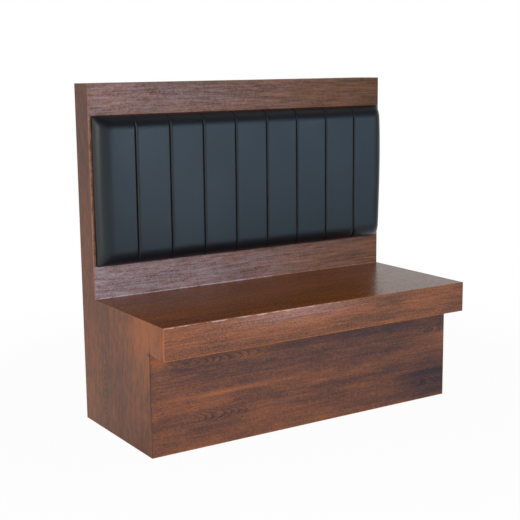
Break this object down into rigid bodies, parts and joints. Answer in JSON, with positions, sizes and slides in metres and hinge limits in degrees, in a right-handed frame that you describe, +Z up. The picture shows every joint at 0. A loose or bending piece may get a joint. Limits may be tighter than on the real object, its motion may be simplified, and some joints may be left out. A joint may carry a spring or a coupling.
{
  "type": "restaurant booth bench",
  "caption": "Single-sided booth bench with a boxed wooden seat, overhanging nose, flat panelled back and a channel-sewn upholstered back pad between two rails.",
  "frame": {"origin": "on the floor, in the middle of the bench's footprint", "axes": "+X along the width, to the right as seen from the front, +Y from the nose of the seat to the rear panel, +Z up"},
  "size_m": [1.2, 0.59, 1.15],
  "materials": {
    "end_veneer": "open-grained veneer with the grain upright, brown walnut stain, satin lacquer",
    "front_veneer": "open-grained veneer with the grain level, red-brown walnut stain, satin lacquer",
    "seat_veneer": "open-grained veneer along the seat, golden brown stain, semi-gloss lacquer",
    "rear_plywood": "stained plywood, matt",
    "raw_plywood": "bare plywood",
    "frame_timber": "bare planed softwood",
    "foam": "open-cell upholstery foam",
    "vinyl": "blue-black upholstery vinyl, fine grain, soft sheen",
    "zinc_screws": "zinc plated",
    "zinc_bolts": "zinc plated"
  },
  "bodies": {
    "root": {"back_sole_plate": "frame_timber", "back_stud_1": "frame_timber", "back_stud_2": "frame_timber", "back_stud_3": "frame_timber", "back_stud_4": "frame_timber", "back_stud_5": "frame_timber", "back_top_plate": "frame_timber", "base_front_batten": "frame_timber", "base_front_panel": "front_veneer", "bottom_rail": "front_veneer", "frame_bolts": "zinc_bolts", "frame_nuts": "zinc_bolts", "frame_washers": "zinc_bolts", "left_corner_post": "frame_timber", "left_end_panel": "end_veneer", "left_seat_cleat": "frame_timber", "lower_noggin_1": "frame_timber", "lower_noggin_2": "frame_timber", "lower_noggin_3": "frame_timber", "lower_noggin_4": "frame_timber", "nose_batten": "frame_timber", "nose_soffit": "front_veneer", "pad_board": "raw_plywood", "pad_cover": "vinyl", "pad_foam": "foam", "pad_screws": "zinc_screws", "rear_panel": "rear_plywood", "rear_panel_screws": "zinc_screws", "right_corner_post": "frame_timber", "right_end_panel": "end_veneer", "right_seat_cleat": "frame_timber", "seat_apron": "front_veneer", "seat_board": "seat_veneer", "seat_cleat_screws": "zinc_screws", "seat_ledger": "frame_timber", "seat_ledger_screws": "zinc_screws", "seat_rib_1": "raw_plywood", "seat_rib_2": "raw_plywood", "seat_rib_3": "raw_plywood", "top_cap": "front_veneer", "top_rail": "front_veneer", "upper_noggin_1": "frame_timber", "upper_noggin_2": "frame_timber", "upper_noggin_3": "frame_timber", "upper_noggin_4": "frame_timber"}
  },
  "joints": []
}
